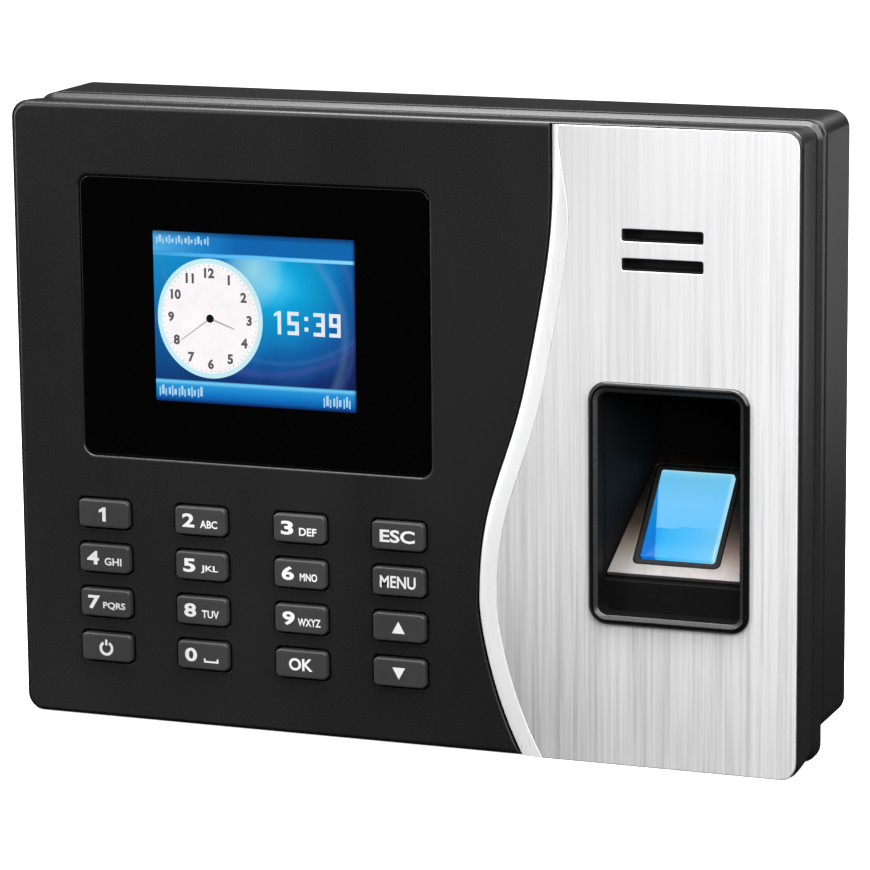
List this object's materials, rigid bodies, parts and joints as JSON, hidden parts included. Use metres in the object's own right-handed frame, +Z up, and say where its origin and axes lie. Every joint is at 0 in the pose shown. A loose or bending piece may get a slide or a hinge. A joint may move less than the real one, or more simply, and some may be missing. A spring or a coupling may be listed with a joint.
{
  "type": "fingerprint scanner terminal",
  "caption": "Wall-mounted fingerprint terminal with a colour screen and a key block on its black side, and a sloping lit finger sensor recessed in a silver faceplate with a curved edge.",
  "frame": {"origin": "centre of the wall plate's back face, which lies on the wall", "axes": "+X to the right as seen from the front, +Y into the wall, +Z up; the front faces -Y"},
  "size_m": [0.187, 0.0393, 0.143],
  "materials": {
    "black_plastic": "fine satin moulding",
    "key_plastic": "satin",
    "gloss_black": "polished, with the lit screen behind it",
    "brushed_silver": "brushed silver film",
    "zinc_plated_steel": "zinc plated",
    "circuit_board": "green solder mask",
    "lit_prism": "polished, lit blue from inside",
    "pale_plate": "pale satin",
    "rubber": "matt",
    "chip_plastic": "satin",
    "terminal_plastic": "satin",
    "ribbon_film": "amber film"
  },
  "bodies": {
    "terminal": {"front_cover": "black_plastic", "silver_faceplate": "brushed_silver", "lcd_lens": "gloss_black", "lcd_frame": "zinc_plated_steel", "lcd_panel": "gloss_black", "lcd_ribbon": "ribbon_film", "keypad_membrane": "rubber", "keypad_pcb": "circuit_board", "keypad_ribbon": "ribbon_film", "main_pcb": "circuit_board", "processor": "chip_plastic", "buzzer": "chip_plastic", "battery_holder": "chip_plastic", "coin_cell": "zinc_plated_steel", "relay": "chip_plastic", "terminal_block": "terminal_plastic", "tamper_switch": "chip_plastic", "rj45_jack": "zinc_plated_steel", "usb_port": "zinc_plated_steel", "power_jack": "chip_plastic", "rear_shell": "black_plastic", "wall_plate": "zinc_plated_steel", "finger_well": "chip_plastic", "sensor_surround": "pale_plate", "sensor_prism": "lit_prism", "sensor_seal": "rubber", "sensor_body": "chip_plastic", "sensor_pcb": "circuit_board", "sensor_cable": "rubber", "speaker_mesh": "zinc_plated_steel", "speaker_gasket": "rubber", "speaker": "chip_plastic", "case_screw_left_bottom": "zinc_plated_steel", "case_screw_left_top": "zinc_plated_steel", "case_screw_right_bottom": "zinc_plated_steel", "case_screw_right_top": "zinc_plated_steel", "pcb_screw_left_bottom": "zinc_plated_steel", "pcb_screw_left_top": "zinc_plated_steel", "pcb_screw_right_bottom": "zinc_plated_steel", "pcb_screw_right_top": "zinc_plated_steel", "security_screw": "zinc_plated_steel"},
    "key_1": {"key_1": "key_plastic"},
    "key_2": {"key_2": "key_plastic"},
    "key_3": {"key_3": "key_plastic"},
    "key_esc": {"key_esc": "key_plastic"},
    "key_4": {"key_4": "key_plastic"},
    "key_5": {"key_5": "key_plastic"},
    "key_6": {"key_6": "key_plastic"},
    "key_menu": {"key_menu": "key_plastic"},
    "key_7": {"key_7": "key_plastic"},
    "key_8": {"key_8": "key_plastic"},
    "key_9": {"key_9": "key_plastic"},
    "key_up": {"key_up": "key_plastic"},
    "key_power": {"key_power": "key_plastic"},
    "key_0": {"key_0": "key_plastic"},
    "key_ok": {"key_ok": "key_plastic"},
    "key_down": {"key_down": "key_plastic"},
    "tamper_plunger": {"tamper_plunger": "key_plastic"}
  },
  "joints": [
    {"name": "key_1_press", "type": "slide", "parent": "terminal", "child": "key_1", "axis": [0, 1, 0], "range_m": [0, 0.001], "stiffness_N_per_m": 600},
    {"name": "key_2_press", "type": "slide", "parent": "terminal", "child": "key_2", "axis": [0, 1, 0], "range_m": [0, 0.001], "stiffness_N_per_m": 600},
    {"name": "key_3_press", "type": "slide", "parent": "terminal", "child": "key_3", "axis": [0, 1, 0], "range_m": [0, 0.001], "stiffness_N_per_m": 600},
    {"name": "key_esc_press", "type": "slide", "parent": "terminal", "child": "key_esc", "axis": [0, 1, 0], "range_m": [0, 0.001], "stiffness_N_per_m": 600},
    {"name": "key_4_press", "type": "slide", "parent": "terminal", "child": "key_4", "axis": [0, 1, 0], "range_m": [0, 0.001], "stiffness_N_per_m": 600},
    {"name": "key_5_press", "type": "slide", "parent": "terminal", "child": "key_5", "axis": [0, 1, 0], "range_m": [0, 0.001], "stiffness_N_per_m": 600},
    {"name": "key_6_press", "type": "slide", "parent": "terminal", "child": "key_6", "axis": [0, 1, 0], "range_m": [0, 0.001], "stiffness_N_per_m": 600},
    {"name": "key_menu_press", "type": "slide", "parent": "terminal", "child": "key_menu", "axis": [0, 1, 0], "range_m": [0, 0.001], "stiffness_N_per_m": 600},
    {"name": "key_7_press", "type": "slide", "parent": "terminal", "child": "key_7", "axis": [0, 1, 0], "range_m": [0, 0.001], "stiffness_N_per_m": 600},
    {"name": "key_8_press", "type": "slide", "parent": "terminal", "child": "key_8", "axis": [0, 1, 0], "range_m": [0, 0.001], "stiffness_N_per_m": 600},
    {"name": "key_9_press", "type": "slide", "parent": "terminal", "child": "key_9", "axis": [0, 1, 0], "range_m": [0, 0.001], "stiffness_N_per_m": 600},
    {"name": "key_up_press", "type": "slide", "parent": "terminal", "child": "key_up", "axis": [0, 1, 0], "range_m": [0, 0.001], "stiffness_N_per_m": 600},
    {"name": "key_power_press", "type": "slide", "parent": "terminal", "child": "key_power", "axis": [0, 1, 0], "range_m": [0, 0.001], "stiffness_N_per_m": 600},
    {"name": "key_0_press", "type": "slide", "parent": "terminal", "child": "key_0", "axis": [0, 1, 0], "range_m": [0, 0.001], "stiffness_N_per_m": 600},
    {"name": "key_ok_press", "type": "slide", "parent": "terminal", "child": "key_ok", "axis": [0, 1, 0], "range_m": [0, 0.001], "stiffness_N_per_m": 600},
    {"name": "key_down_press", "type": "slide", "parent": "terminal", "child": "key_down", "axis": [0, 1, 0], "range_m": [0, 0.001], "stiffness_N_per_m": 600},
    {"name": "tamper_plunger_press", "type": "slide", "parent": "terminal", "child": "tamper_plunger", "axis": [0, 1, 0], "range_m": [-0.001, 0], "stiffness_N_per_m": 300}
  ]
}
